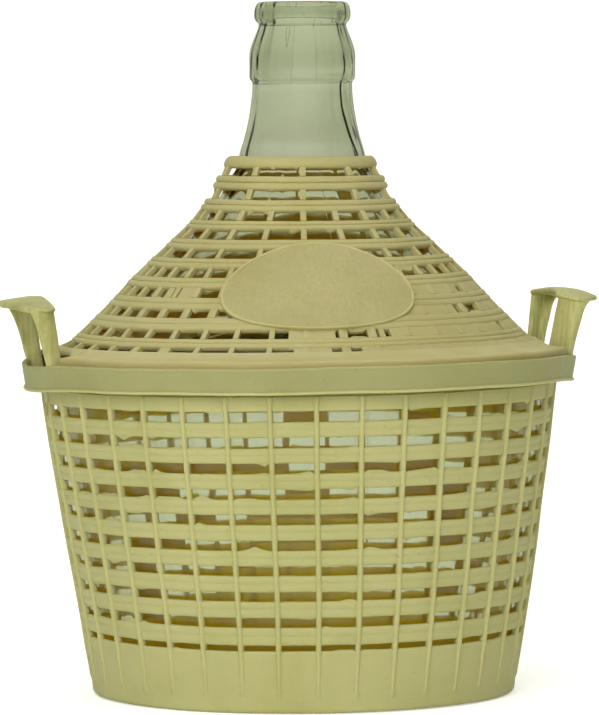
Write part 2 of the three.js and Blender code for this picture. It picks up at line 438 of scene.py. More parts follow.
def glass(name):
    """Blown bottle glass: grey-green, gently uneven, with a little dust."""
    n = Nodes(name)
    o = n.coords()
    tint = n.noise(o, 14.0, 3.0, 0.5)
    colour = n.ramp(tint, [(0.3, (0.90, 0.92, 0.86)), (0.7, (0.94, 0.95, 0.90))])
    # a faint film inside the neck
    part = n.new("ShaderNodeSeparateXYZ")
    n.link(o, part.inputs[0])
    film = n.remap(part.outputs[2], 0.2775, 0.2825, 1.0, 0.0)
    above = n.remap(part.outputs[2], 0.236, 0.244)
    streaky = n.remap(n.noise(n.coords((1, 1, 0.05)), 120.0, 3.0, 0.6), 0.3, 0.7, 0.75, 1.0)
    both = n.new("ShaderNodeMath", operation="MULTIPLY")
    n.link(film, both.inputs[0])
    n.link(streaky, both.inputs[1])
    neck = n.new("ShaderNodeMath", operation="MULTIPLY")
    n.link(both.outputs[0], neck.inputs[0])
    n.link(above, neck.inputs[1])
    colour = n.mix(neck.outputs[0], colour, (0.86, 0.878, 0.815))
    n.link(colour, n.p.inputs["Base Color"])
    n.link(n.remap(n.noise(o, 160.0, 5.0, 0.6), 0.45, 0.8, 0.02, 0.10), n.p.inputs["Roughness"])
    wave = n.noise(n.coords((1, 1, 0.35)), 38.0, 2.0, 0.5)
    n.link(n.bump(wave, 0.35, 0.0012), n.p.inputs["Normal"])
    n.p.inputs["Transmission Weight"].default_value = 1.0
    n.p.inputs["IOR"].default_value = 1.5
    body = n.new("ShaderNodeVolumeAbsorption")
    body.inputs["Color"].default_value = (0.50, 0.57, 0.35, 1.0)
    body.inputs["Density"].default_value = 92.0
    n.link(body.outputs[0], n.t.nodes["Material Output"].inputs["Volume"])
    clear = n.new("ShaderNodeBsdfTransparent")
    clear.inputs["Color"].default_value = (0.90, 0.92, 0.86, 1.0)
    path = n.new("ShaderNodeLightPath")
    mix = n.new("ShaderNodeMixShader")
    out = n.t.nodes["Material Output"]
    n.link(path.outputs["Is Shadow Ray"], mix.inputs[0])
    n.link(n.p.outputs[0], mix.inputs[1])
    n.link(clear.outputs[0], mix.inputs[2])
    n.link(mix.outputs[0], out.inputs["Surface"])
    return n.mat


def floor_paper(name):
    """Pale paper, white to the viewer and a soft grey-green to the light that comes back from it."""
    n = Nodes(name)
    o = n.coords()
    f = n.noise(o, 9.0, 4.0)
    path = n.new("ShaderNodeLightPath")
    paper = n.ramp(f, [(0.3, (0.90, 0.90, 0.90)), (0.7, (0.94, 0.94, 0.94))])
    tone = n.ramp(f, [(0.3, (0.93, 0.95, 0.82)), (0.7, (0.96, 0.98, 0.86))])
    n.link(n.mix(path.outputs["Is Camera Ray"], tone, paper), n.p.inputs["Base Color"])
    n.p.inputs["Roughness"].default_value = 0.9
    n.p.inputs["Specular IOR Level"].default_value = 0.1
    n.p.inputs["Emission Color"].default_value = (1.0, 1.0, 1.0, 1.0)
    n.link(n.remap(path.outputs["Is Camera Ray"], 0.0, 1.0, 0.0, 0.5), n.p.inputs["Emission Strength"])
    # one-sided, so that the sweep never stands between a viewer behind or below it and the object
    side, clear, both = n.new("ShaderNodeNewGeometry"), n.new("ShaderNodeBsdfTransparent"), n.new("ShaderNodeMixShader")
    n.link(side.outputs["Backfacing"], both.inputs[0])
    n.link(n.p.outputs[0], both.inputs[1])
    n.link(clear.outputs[0], both.inputs[2])
    n.link(both.outputs[0], n.t.nodes["Material Output"].inputs["Surface"])
    return n.mat


BASKET_MAT = plastic("basket_plastic", (0.54, 0.522, 0.245), (0.49, 0.472, 0.205), (0.57, 0.53, 0.265))
# inside faces of the basket: the same plastic in a deeper, warmer ochre with strong subsurface, a painted glow for
# light that comes through the wall
BASKET_IN_PAINTED_GLOW = plastic("basket_inside_painted_glow", (0.66, 0.50, 0.085), (0.58, 0.43, 0.06), (0.70, 0.54, 0.105), glow=(1.0, 0.012), depth=(1.0, 0.68, 0.12))
# the band: the basket plastic made darker, painted shade on its upright face
BAND_PAINTED_SHADE_MAT = plastic("band_plastic_painted_shade", (0.395, 0.392, 0.18), (0.355, 0.352, 0.15), (0.425, 0.40, 0.185), streak=(3, 3, 90), grain=0.2)
COVER_MAT = plastic("cover_plastic", (0.50, 0.455, 0.215), (0.455, 0.40, 0.17), (0.525, 0.465, 0.235))
# inside faces of the cover: the same plastic in a deeper, warmer ochre with strong subsurface, a painted glow for light
# that comes through the wall
COVER_IN_PAINTED_GLOW = plastic("cover_inside_painted_glow", (0.52, 0.42, 0.125), (0.46, 0.36, 0.095), (0.56, 0.45, 0.145), glow=(1.0, 0.010), depth=(1.0, 0.72, 0.14))
PLATE_MAT = plastic("plate_plastic", (0.484, 0.44, 0.211), (0.395, 0.35, 0.145), (0.51, 0.45, 0.23), streak=(40, 40, 2.0), grain=0.6)
# a darker, browner copy of the foot plastic for the upright skirt: painted shade
BRIM_PAINTED_SHADE_MAT = plastic("brim_plastic_painted_shade", (0.50, 0.44, 0.198), (0.45, 0.385, 0.16), (0.53, 0.45, 0.215), streak=(3, 3, 90), grain=0.2)
# the cover plastic made paler, for the upward-facing foot and the plate's raised edge: painted light
FOOT_PAINTED_LIGHT_MAT = plastic("foot_plastic_painted_light", (0.55, 0.497, 0.238), (0.50, 0.44, 0.19), (0.575, 0.51, 0.26), streak=(3, 3, 60), grain=0.2)
HANDLE_MAT = plastic("handle_plastic", (0.59, 0.58, 0.255), (0.36, 0.335, 0.115), (0.62, 0.59, 0.27), streak=(26, 26, 1.8), grain=0.85, glow=(0.15, 0.0015))
GLASS_MAT = glass("bottle_glass")


# --------------------------------------------------------------- lower basket
def build_basket():
    line = Outline(BASKET_OUTLINE)
    cols = Columns(CELLS, BASKET_RIB0)
    rib_jit = RNG.normal(0, math.radians(0.12), CELLS)
    tops = [z + h / 2 for z, h in BASKET_ROWS]
    lows = [z - h / 2 for z, h in BASKET_ROWS]
    rows = []   # (place, offset of the bars, kind, row) from the rim down
    # each bar is two soft strands with a shallow groove between them
    bar = [(0.0, -0.40), (0.03, -0.15), (0.09, 0.0), (0.2, 0.09), (0.32, 0.05), (0.41, -0.12), (0.47, -0.27),
           (0.53, -0.12), (0.62, 0.05), (0.75, 0.09), (0.88, 0.0), (0.96, -0.16), (1.0, -0.42)]
    t_top = line.at_height(146.2)
    t0 = line.at_height(tops[0])
    # a groove runs round just under the band
    for zz, o in ((146.2, 0.0), (144.9, 0.0), (144.6, -1.5), (143.6, -1.5), (143.3, -0.1), (142.9, 0.0), (141.0, 0.0), (139.2, 0.0), (137.8, 0.0)):
        rows.append((line.at_height(zz), o, "groove" if o < -1 else "bar", -1))
    rows.append((t0 - 0.35, -0.04, "bar", -1))
    rows.append((t0, -0.42, "edge", 0))
    for k in range(len(BASKET_ROWS)):
        a, b = line.at_height(tops[k]), line.at_height(lows[k])
        rows.append((a + 0.14, -0.8, "open", k))
        rows.append((b - 0.14, -0.8, "shut", k))
        if k + 1 < len(BASKET_ROWS):
            c = line.at_height(tops[k + 1])
            for x, o in bar:
                kind = "edge" if x in (0.0, 1.0) else "bar"
                rows.append((b + (c - b) * x, o, kind, k))
    b = line.at_height(lows[-1])
    rows.append((b, -0.42, "edge", 99))
    rows.append((b + 0.4, -0.04, "bar", 99))
    end = line.s[-1]
    for z in (27.0, 24.0, 20.0, 16.0, 12.5, 10.2, 9.0, 8.2, 7.5, 6.9, 6.3, 5.4, 4.2, 3.0, 1.9, 1.05, 0.45):
        rows.append((line.at_height(z), 0.0, "bar", 99))
    for x in (0.35, 1.0):
        t_flat = line.at_height(0.06)
        rows.append((t_flat + (end - t_flat) * x, 0.0, "bar", 99))
    M, N = len(rows), CELLS * PER
    T, A = np.zeros((M, N)), np.zeros((M, N))
    OUT, THK = np.zeros((M, N)), np.zeros((M, N))
    hole = np.zeros((M - 1, N), bool)
    inner = np.zeros(M, bool)
    bits = flash(len(BASKET_ROWS), CELLS, (0.25, 0.4), 2.3)
    bits[-1] *= 0.5
    far = np.abs((BASKET_RIB0 + 360.0 / CELLS * (np.arange(CELLS) + 0.5) - VIEW_AZ + 180) % 360 - 180) > 100
    share = np.array([0.16, 0.26, 0.28, 0.78, 0.42, 0.5, 0.4, 0.25, 0.2, 0.1])[:, None]
    shut = (RNG.random((len(BASKET_ROWS), CELLS)) < share) & far[None, :]     # closed by a skin of flash
    foot = cols.is_rib & (np.abs(cols.f) == 1.0)    # a crease runs along both sides of every rib
    for j, (t, o, kind, k) in enumerate(rows):
        r, z, _, _ = line.at(t)
        fade = float(np.clip((z - 6.2) / 2.6, 0.0, 1.0))
        lowz = float(np.clip((z - 9.0) / 17.0, 0.0, 1.0)) if z < 29 else 1.0
        half = RIB_HALF * (0.65 + 0.35 * lowz)
        A[j] = cols.azimuths(half, r, rib_jit)
        T[j] = t
        base = -RIB_H * (0.55 * float(np.clip((z - 1.0) / 4.0, 0.0, 1.0)) + 0.45 * lowz)
        bead = -base * fade
        OUT[j] = base + o + np.where(cols.is_rib, (bead - o) * cols.arch, 0.0) - np.where(foot, 0.16 * lowz, 0.0)
        THK[j] = np.where(cols.is_rib & (z > 26), 2.9, 2.55)
        if kind == "groove":
            OUT[j] = base + o + 0.5 * bead * cols.arch
        if kind in ("open", "shut"):
            OUT[j] = np.where(cols.is_rib, -RIB_H - 0.25 + (RIB_H + 0.25) * cols.arch, base - 0.7)
            closed = shut[k][cols.cell] & ~cols.is_rib
            THK[j] = np.where(cols.is_rib, 2.95, np.where(closed, 3.9, 2.2))
            side = 0 if kind == "open" else 1
            for c in range(CELLS):
                T[j, c * PER + NR + 1:(c + 1) * PER] += (1 - 2 * side) * bits[k, side, c, 1:]
            inner[j] = True
        if kind == "open":
            hole[j] = ~cols.face_rib & ~shut[k][cols.cell]
        if kind == "edge" or j in (0, M - 1) or (kind == "bar" and k == 99):
            inner[j] = True
    v, f, kinds = lattice(line, T, A, OUT, THK, hole, inner)
    v = wobble(v, 0.16, 16.0, 1.7)
    v = wobble(v, 0.35, 70.0, 4.2)
    # the rows hang a little lower round the back
    back = 0.5 - 0.5 * np.cos(np.arctan2(v[:, 0], -v[:, 1]) - math.radians(VIEW_AZ))
    sag = 2.3 * back * back * np.clip((v[:, 2] - 14) / 20, 0, 1) * np.clip((143.5 - v[:, 2]) / 9, 0, 1)
    v[:, 2] -= sag
    v[:, 2] = np.maximum(v[:, 2], 0.0)

    # floor of the basket, a little above the foot ring
    floor = [(0, 0.7), (3.0, 0.7), (3.6, 0.35), (5.0, 0.35), (5.6, 0.7), (28.0, 0.7), (28.8, 0.35), (30.2, 0.35), (31.0, 0.7),
             (58.0, 0.7), (58.8, 0.35), (60.2, 0.35), (61.0, 0.7), (84.5, 0.7), (86.0, 0.5), (88.0, 0.6), (93.5, 1.4), (95.0, 2.5), (0, 2.5)]
    fv, ff, _ = turned_solid(floor, 120)
    verts, faces = join_parts([(v, f), (fv, ff)])
    kinds = np.r_[kinds, np.zeros(len(ff), int)]
    # the inner faces take the inside copy of the plastic, whose warmer colour is painted glow
    ob = add_object("basket_wall", verts, faces, [BASKET_MAT, BASKET_IN_PAINTED_GLOW], 50.0, kinds)
    outward(ob)
    return ob


def build_band():
    z, t = LEDGE_Z, BAND_TOP
    prof = [
        (117.0, z + 1.3), (117.3, z + 0.9), (118.3, z + 0.75), (119.6, z + 0.7), (121.4, z + 0.6), (123.6, z + 0.35), (125.4, z + 0.05),
        (126.7, z - 0.05), (127.45, z + 0.2), (127.75, z + 0.6), (127.6, z + 1.05), (127.15, z + 1.35), (126.9, z + 1.55), (126.95, z + 2.2),
        (127.4, z + 5.0), (127.95, z + 8.0), (128.3, t - 1.3), (128.5, t - 0.8), (128.45, t - 0.25), (128.1, t), (127.4, t + 0.02),
        (126.5, t - 0.2), (126.0, t - 0.7), (125.8, t - 2.5), (125.3, z + 4.2), (124.7, z + 3.0), (124.0, z + 2.5), (119.0, z + 2.4),
        (117.6, z + 2.3), (117.1, z + 1.8),
    ]
    v, f = turned(prof, 240)
    ang = np.arctan2(v[:, 0], -v[:, 1])
    v[:, 2] += 0.28 * np.sin(3 * ang + 0.6) * np.clip((v[:, 2] - z) / 6, 0.3, 1) + 0.12 * np.sin(11 * ang + 2.0)
    # it dips where the handles pull on it
    near = np.minimum(np.abs(np.degrees(ang) - 90), np.abs(np.degrees(ang) + 90))
    near = np.clip(1 - near / 34.0, 0, 1)
    v[:, 2] -= 2.2 * near * near * (3 - 2 * near) * np.clip((v[:, 2] - z + 6) / 6, 0, 1)
    v = wobble(v, 0.14, 9.0, 2.2)
    # the bead along the lower edge takes the paler basket plastic, a painted highlight; the rest of the band is
    # darkened as painted shade
    at = np.arange(len(f)) % len(prof)
    ob = add_object("rim_band", v, f, [BAND_PAINTED_SHADE_MAT, BASKET_MAT], 60.0, np.where((at >= 7) & (at <= 10), 1, 0))
    outward(ob)
    return ob


# -------------------------------------------------------------- upper cover
# view-relative azimuths where the lower rows of the cover are open; the rest is closed by a skin of flash
COVER_OPEN = {
    6: [(-95, -62.5), (-61.6, -54.0), (-53.4, -47.0), (-44.8, -41.7), (-34.5, -24.5), (60.6, 65.0)],
    7: [(-95, -62.1), (-61.8, -53.6), (-53.1, -45.0), (-44.1, -36.5), (-34.4, -26.7), (-25.6, -17.0), (51.0, 53.9), (55.2, 58.2), (58.6, 65.0)],
    8: [(-95, -61.5), (-61.0, -53.0), (-52.4, -44.3), (-44.0, -35.4), (-34.1, -26.0), (-25.1, -16.8), (-15.5, -7.5), (-6.4, -2.8),
        (9.6, 11.8), (13.0, 17.6), (19.6, 21.0), (22.6, 24.4), (66.2, 69.7)],
    9: [(-95, -61.2), (-60.9, -53.8), (-53.4, -44.9), (-44.2, -36.0), (-32.5, -26.2), (-25.1, -16.9), (-15.7, -7.5), (-6.4, -2.0),
        (8.0, 11.6), (13.0, 15.4)],
}
# windows that are partly skinned over: row, from, to, closed from above and from below (mm)
COVER_PART = [(8, 9.0, 12.0, 1.7, 0.5), (8, 13.0, 17.8, 1.2, 1.5), (8, 22.0, 24.6, 0.5, 0.4), (9, 9.4, 11.8, 0.0, 1.9), (9, 12.8, 15.6, 0.3, 2.1),
              (7, -35.0, -31.5, 1.2, 0.0), (6, 60.0, 65.5, 1.6, 0.6), (7, 58.4, 65.5, 0.0, 1.1), (5, 39.0, 46.0, 2.0, 0.0)]


def window_open(k, rel):
    """Whether the place at azimuth rel (from the viewer) in row k of the cover is open."""
    if abs(rel) > 95:
        return k < 6 or (int(abs(rel) / 9 + k * 5) % 7) != 0
    if k in COVER_OPEN:
        return any(a <= rel <= b for a, b in COVER_OPEN[k])
    return True


def build_cover():
    line = Outline(COVER_OUTLINE)
    cols = Columns(COVER_CELLS, COVER_RIB0)
    relief = lambda z: float(np.interp(z, [165, 185, 205, 240], [0.75, 0.85, 1.05, 1.3]))
    # each bar is two strands with a groove between them
    strand = [(0.0, 0.18), (0.06, 0.55), (0.16, 0.82), (0.32, 0.97), (0.5, 1.0), (0.68, 0.97), (0.84, 0.82), (0.94, 0.55)]
    rows = []
    t_first = line.at_height(COVER_ROWS[0][0])
    for x, h in ((0.0, 0.2), (0.05, 0.55), (0.15, 0.85), (0.32, 1.0), (0.5, 1.05), (0.68, 1.0), (0.84, 0.8), (0.94, 0.5)):
        rows.append((t_first * x, h, "bar", -1))
    rows.append((t_first, 0.2, "edge", -1))
    for k, (za, zb, _) in enumerate(COVER_ROWS):
        a, b = line.at_height(za), line.at_height(zb)
        rows.append((a + 0.12, -0.25, "open", k))
        rows.append((b - 0.12, -0.25, "shut", k))
        if k + 1 < len(COVER_ROWS):
            c = line.at_height(COVER_ROWS[k + 1][0])
            for s in (0, 1):
                for x, h in strand:
                    first = s == 0 and x == 0.0
                    rows.append((b + (c - b) * (s + x) / 2, 0.2 if first else h, "edge" if first else "bar", k))
            rows.append((c, 0.2, "edge", k))
        else:
            rows.append((b, 0.2, "edge", 99))
    t_foot = line.at_height(COVER_ROWS[-1][1])
    end = line.s[-1]
    for x, h in ((0.08, 0.6), (0.2, 0.8), (0.4, 0.85), (0.7, 0.8), (1.0, 0.7)):
        rows.append((t_foot + (end - t_foot) * x, h, "bar", 99))
    M, N = len(rows), COVER_CELLS * PER
    T, A = np.zeros((M, N)), np.zeros((M, N))
    OUT, THK = np.zeros((M, N)), np.zeros((M, N))
    hole = np.zeros((M - 1, N), bool)
    inner = np.zeros(M, bool)
    jit = RNG.normal(0, math.radians(0.22), COVER_CELLS)
    bits = flash(len(COVER_ROWS), COVER_CELLS, (0.2, 0.22), 1.7)
    for j, (t, h, kind, k) in enumerate(rows):
        r, z, _, _ = line.at(t)
        half = float(np.interp(z, [165, 185, 205, 225, 245], [1.22, 1.2, 1.25, 1.4, 1.45]))
        A[j] = cols.azimuths(half, r, jit * np.clip((245 - z) / 60, 0, 1))
        T[j] = t
        tall = relief(z)
        low = 0.3 - tall
        OUT[j] = low + tall * h
        THK[j] = 2.3
        if kind in ("open", "shut"):
            step = COVER_CELLS // COVER_ROWS[k][2]
            real = (cols.cell % step == 0) & cols.is_rib
            skin = np.zeros(N, bool)
            rel = (np.degrees(A[j]) - VIEW_AZ + 180) % 360 - 180
            mid = (np.degrees(A[j] + 0.5 * ((np.roll(A[j], -1) - A[j]) % (2 * np.pi))) - VIEW_AZ + 180) % 360 - 180
            shut = np.array([(cols.cell[i] % step == 0) if cols.face_rib[i] else not window_open(k, mid[i]) for i in range(N)])
            skin = shut | np.roll(shut, 1)
            OUT[j] = np.where(real, low + tall * (0.52 + 0.2 * cols.arch), np.where(skin, low + tall * 0.22, low - 0.3))
            side = 0 if kind == "open" else 1
            for c in range(COVER_CELLS):
                T[j, c * PER + NR + 1:(c + 1) * PER] += (1 - 2 * side) * bits[k, side, c, 1:] * (~skin[c * PER + NR + 1:(c + 1) * PER])
            for kk, a, b, up, down in COVER_PART:
                if kk == k:
                    T[j] += np.where((rel >= a) & (rel <= b) & ~real, up if side == 0 else -down, 0.0)
            inner[j] = True
            if kind == "open":
                hole[j] = ~shut
        if kind == "edge" or j in (0, M - 1) or k == 99:
            inner[j] = True
    v, f, kinds = lattice(line, T, A, OUT, THK, hole, inner)
    v = wobble(v, 0.2, 12.0, 5.3)
    v = wobble(v, 0.3, 60.0, 8.8)
    # the inner faces take the inside copy of the plastic, whose warmer colour is painted glow
    ob = add_object("cover_lattice", v, f, [COVER_MAT, COVER_IN_PAINTED_GLOW], 50.0, kinds)
    outward(ob)
    return ob


def build_brim():
    """The foot of the cover and its upright skirt, cut back beside each handle."""
    wide = [
        (108.5, 161.70), (110.6, 160.10), (112.6, 158.70), (121.4, 157.30), (122.2, 156.50), (122.2, 146.80), (122.6, 146.40), (123.7, 146.40), (124.1, 146.80),
        (124.2, 151.10), (124.2, 157.10), (124.15, 158.40), (123.9, 159.05), (123.3, 159.40), (121.0, 159.65), (118.0, 160.00), (115.0, 160.60), (112.5, 161.50), (110.0, 162.80),
    ]
    short = [
        (108.5, 161.70), (110.6, 160.10), (111.4, 159.50), (112.6, 159.30), (113.1, 159.60), (113.3, 160.20), (113.1, 160.90), (112.4, 161.40),
        (111.4, 162.00), (110.0, 162.80),
    ]
    parts, kinds = [], []
    for mid, half, prof, n in ((0, 71.0, wide, 110), (180, 71.0, wide, 110), (90, 19.4, short, 60), (270, 19.4, short, 60)):
        v, f = turned(prof, n, mid - half, mid + half)
        if prof is short:       # it widens towards the ends of the notch
            ang = np.degrees(np.arctan2(v[:, 0], -v[:, 1])) % 360
            rad = np.hypot(v[:, 0], v[:, 1])
            d = np.clip((np.abs(ang - mid) - 13.0) / 4.0, 0, 1)
            out = 1 + 3.2 * d * d * (3 - 2 * d) * np.clip((rad - 110.0) / 3.0, 0, 1) / rad
            v[:, 0] *= out
            v[:, 1] *= out
            v[:, 2] -= (out - 1) * rad * 0.28
        skirt = np.arange(len(f)) % len(prof)
        parts.append((wobble(v, 0.2, 14.0, 3.3), f))
        # the skirt faces take the darker brim plastic as painted shade; the rest takes the paler foot plastic as
        # painted light
        kinds.append(np.where((skirt >= 4) & (skirt <= 12) & (len(prof) > 12), 1, 0))
    verts, faces = join_parts(parts)
    ob = add_object("cover_brim", verts, faces, [FOOT_PAINTED_LIGHT_MAT, BRIM_PAINTED_SHADE_MAT], 50.0, np.concatenate(kinds))
    outward(ob)
    return ob


def build_plate():
    """The bare oval plate that stands on the strands of the cover."""
    line = Outline(COVER_OUTLINE)
    segs = 120
    al = np.linspace(0, 2 * np.pi, segs, endpoint=False)

    r0, z0, nr0, nz0 = line.at(line.at_height(PLATE_Z))
    reach = r0 / nz0                                # from the tip of the cone along its slope
    t0 = line.at_height(PLATE_Z)

    def ring(rho, off):
        p, q = PLATE_A * rho * np.cos(al), PLATE_B * rho * np.sin(al)
        far = np.hypot(p, reach - q)
        az = np.arctan2(p, reach - q) / nz0
        r, zz, nr, nz = line.at(t0 + far - reach)
        r, zz = r + off * nr, zz + off * nz
        return np.stack([r * np.sin(az), -r * np.cos(az), zz], -1)

    front = [(0.12, 1.15), (0.3, 1.15), (0.5, 1.12), (0.68, 1.1), (0.82, 1.08), (0.92, 1.04), (0.958, 1.04), (0.965, 1.2),
             (0.972, 1.45), (0.984, 1.52), (0.993, 1.3), (0.998, 0.9), (1.0, 0.4), (1.0, -1.2)]
    back = [(0.95, -1.4), (0.7, -1.4), (0.4, -1.4), (0.12, -1.4)]
    rings = [ring(*q) for q in front + back]
    v = np.vstack(rings + [[[0, -np.sqrt(1), 0]]] * 2)
    centre = line.at(line.at_height(PLATE_Z))
    for k, off in ((0, 1.15), (1, -1.4)):
        r, zz = centre[0] + off * centre[2], centre[1] + off * centre[3]
        v[len(v) - 2 + k] = (0, -r, zz)
    m = len(rings)
    faces = []
    for i in range(segs):
        k = (i + 1) % segs
        faces.append((len(v) - 2, i, k))
        for j in range(m - 1):
            faces.append((j * segs + i, (j + 1) * segs + i, (j + 1) * segs + k, j * segs + k))
        faces.append((len(v) - 1, (m - 1) * segs + k, (m - 1) * segs + i))
    a = math.radians(PLATE_AZ)
    x, y = v[:, 0].copy(), v[:, 1].copy()
    v[:, 0], v[:, 1] = x * math.cos(a) - y * math.sin(a), x * math.sin(a) + y * math.cos(a)
    v = wobble(v, 0.25, 30.0, 6.1)
    # the raised edge takes the paler foot plastic: a painted highlight
    kinds = ([0] + [int(7 <= j <= 10) for j in range(m - 1)] + [0]) * segs      # the raised edge is a little paler
    ob = add_object("oval_plate", v, faces, [PLATE_MAT, FOOT_PAINTED_LIGHT_MAT], 50.0, kinds)
    outward(ob)
    return ob


# ------------------------------------------------------------------- handles
# a handle post in plan, at its foot and at its top: inner edge, ridge and outer edge, across and outwards
POST_FOOT = {1: np.array([(112.4, 20.0), (118.0, 32.8), (121.4, 29.8)]), -1: np.array([(114.4, 33.8), (118.0, 36.0), (121.2, 35.0)])}
POST_TOP = {1: np.array([(116.7, 27.4), (122.6, 35.6), (127.9, 32.4)]), -1: np.array([(120.0, 36.2), (124.8, 40.0), (130.3, 41.2)])}
HANDLE_END = {1: 37.4, -1: 42.2}      # half the length of the arch of the right and of the left handle
# the arch over the two posts in plan: half its length against the inner and the outer edge
ARCH_IN = {1: [(0, 119.2), (12, 118.7), (20, 117.5), (25, 115.9), (28, 115.4), (31, 116.9), (34.5, 119.4), (37.6, 121.6)],
           -1: [(0, 119.6), (12, 119.4), (20, 119.2), (25, 119.0), (28, 118.8), (31, 118.7), (34.5, 119.4), (37.6, 121.4)]}
ARCH_OUT = {1: [(0, 139.8), (8, 139.3), (14, 138.1), (20, 136.2), (26, 133.8), (30, 131.8), (33, 130.0), (35.6, 128.2), (37.6, 126.2)],
            -1: [(0, 139.8), (8, 139.4), (14, 138.5), (20, 137.2), (26, 135.6), (30, 134.5), (33, 133.6), (35.6, 132.6), (37.6, 130.6)]}


ARCH_FINE = {k: (smooth_points(ARCH_IN[k], 0.4), smooth_points(ARCH_OUT[k], 0.4)) for k in ARCH_IN}


def arch_section(a, sign):
    """The arch at a distance a from its middle: inner and outer edge, and its top and underside from one to the other."""
    key = 1 if sign > 0 else -1
    inner, outer = ARCH_FINE[key]
    b = abs(a) * inner[-1, 0] / HANDLE_END[key]
    x0, x1 = np.interp(b, inner[:, 0], inner[:, 1]), np.interp(b, outer[:, 0], outer[:, 1])
    if sign > 0:
        crown, lip = 185.9 - 4.0 * (min(abs(a), 40.0) / 38.0) ** 2.2, 179.9
    else:
        crown, lip = 184.9 - 3.9 * (min(abs(a), 36.0) / 34.0) ** 2, 179.8 - 0.7 * (min(abs(a), 36.0) / 36.0) ** 3
    thick = 3.1 - 1.5 * min(1.0, abs(a) / 34.0) ** 3

    def heights(w):
        s = np.clip((w - 0.22) / 0.78, 0, 1) ** 1.6
        return crown * (1 - s) + (lip + (1.9 if sign > 0 else 2.8)) * s, (crown - thick) * (1 - s) + lip * s

    return x0, x1, heights


def handle_post(side, sign, seed):
    """A post: an angled strip, its ridge away from the finger gap, that widens towards the top."""
    zs = np.r_[147.6, np.arange(149.0, 182.2, 1.2)]
    n = 0
    rings = []
    for z in zs:
        f = (z - 147.6) / 32.0
        foot, top = POST_FOOT[int(sign)], POST_TOP[int(sign)]
        inner, ridge, outer = foot + (top - foot) * np.array([[f], [f], [f ** 1.3]])
        flare = float(np.clip((z - 174.5) / 6.5, 0, 1)) ** 2      # the outer edge sweeps out under the lip
        outer = outer + flare * np.array([1.6 if sign > 0 else 0.9, 0.4])
        a1, a2 = inner + (ridge - inner) * 0.74, outer + (ridge - outer) * 0.5
        k = np.linspace(0, 1, 9)[1:-1, None]
        path = np.vstack([inner + (a1 - inner) * np.array([0.0, 0.06, 0.16, 0.35, 0.6, 0.85])[:, None],
                          (1 - k) ** 2 * a1 + 2 * k * (1 - k) * ridge + k * k * a2,
                          a2 + (outer - a2) * np.array([0.1, 0.35, 0.6, 0.8, 0.93, 1.0])[:, None]])
        tang = np.gradient(path, axis=0)
        tang /= np.linalg.norm(tang, axis=1)[:, None]
        nrm = np.stack([-tang[:, 1], tang[:, 0]], -1)
        n = len(path)
        half = np.full(n, 1.35)
        half[:3], half[-3:] = (0.45, 1.0, 1.28), (1.28, 1.0, 0.45)
        wave = np.array([0.14 * noise.noise((q * 0.9, z / 40.0, seed + 5 * side)) for q in range(n)])
        ring = np.vstack([path + nrm * (half + wave)[:, None], (path - nrm * (half - wave)[:, None])[::-1]])
        high = np.zeros(2 * n)                      # a post ends inside the arch
        for q, (px, py) in enumerate(ring):
            x0, x1, heights = arch_section(py, sign)
            high[q] = np.mean(heights(np.clip((px - x0) / (x1 - x0), 0.0, 1.0)))
        height = z if z < 170 else 170 + (z - 170) * (high - 170) / (zs[-1] - 170)
        rings.append(np.column_stack([sign * ring[:, 0], side * ring[:, 1], height * np.ones(2 * n)]))
    m = 2 * n
    faces = []
    for i in range(len(rings) - 1):
        for j in range(m):
            k = (j + 1) % m
            faces.append((i * m + j, i * m + k, (i + 1) * m + k, (i + 1) * m + j))
    faces.append(tuple(range(m)))
    faces.append(tuple((len(rings) - 1) * m + j for j in range(m)))
    return np.vstack(rings), faces


def handle_arch(sign, seed):
    """The arch: a slab across both posts, crescent-shaped in plan, whose outer edge droops into a thin lip."""
    end = HANDLE_END[int(sign)]
    ys = end * np.sin(np.linspace(-1, 1, 71) * np.pi / 2)
    w = np.array([0.0, 0.012, 0.04, 0.085, 0.15, 0.24, 0.34, 0.44, 0.54, 0.64, 0.73, 0.81, 0.88, 0.93, 0.965, 0.988, 1.0])
    m = 2 * len(w) - 2
    rings = []
    for y in ys:
        a = abs(y)
        x0, x1, heights = arch_section(a, sign)
        x = x0 + (x1 - x0) * w
        top, low = heights(w)
        d = np.minimum(w, 1 - w) * (x1 - x0)
        rho = np.where(w < 0.5, 1.4, 0.9 if sign > 0 else 1.3)
        g = np.where(d < rho, np.sqrt(np.clip(1 - ((rho - d) / rho) ** 2, 0, 1)), 1.0)
        g = g * math.sqrt(max(0.02, 1 - max(0.0, (a - end + 1.5) / 1.5) ** 2))
        wave = np.array([0.12 * noise.noise((q * 12.0, y / 40.0, seed)) for q in w])
        mid = (top + low) / 2
        up, down = mid + (top - mid + wave) * g, mid - (mid - low) * g
        rings.append(np.column_stack([sign * np.r_[x, x[-2:0:-1]], np.full(m, y), np.r_[up, down[-2:0:-1]]]))
    faces = []
    for i in range(len(rings) - 1):
        for j in range(m):
            k = (j + 1) % m
            faces.append((i * m + j, i * m + k, (i + 1) * m + k, (i + 1) * m + j))
    faces.append(tuple(range(m)))
    faces.append(tuple((len(rings) - 1) * m + j for j in range(m)))
    return np.vstack(rings), faces


def build_handle(node):
    """A loop handle: two angled posts and the arch that joins them."""
    sign = 1.0 if node.endswith("right") else -1.0
    seed = 3.7 if sign > 0 else 8.1
    verts, faces = join_parts([handle_post(-1.0, sign, seed), handle_post(1.0, sign, seed), handle_arch(sign, seed)])
    verts = wobble(verts, 0.25, 13.0, seed)
    verts[:, 2] += np.clip((verts[:, 2] - 160) / 20, 0, 1) * (-0.3 if sign > 0 else 1.2)
    ob = add_object(node + "_grip", verts, faces, HANDLE_MAT, 50.0)
    outward(ob)
    return ob


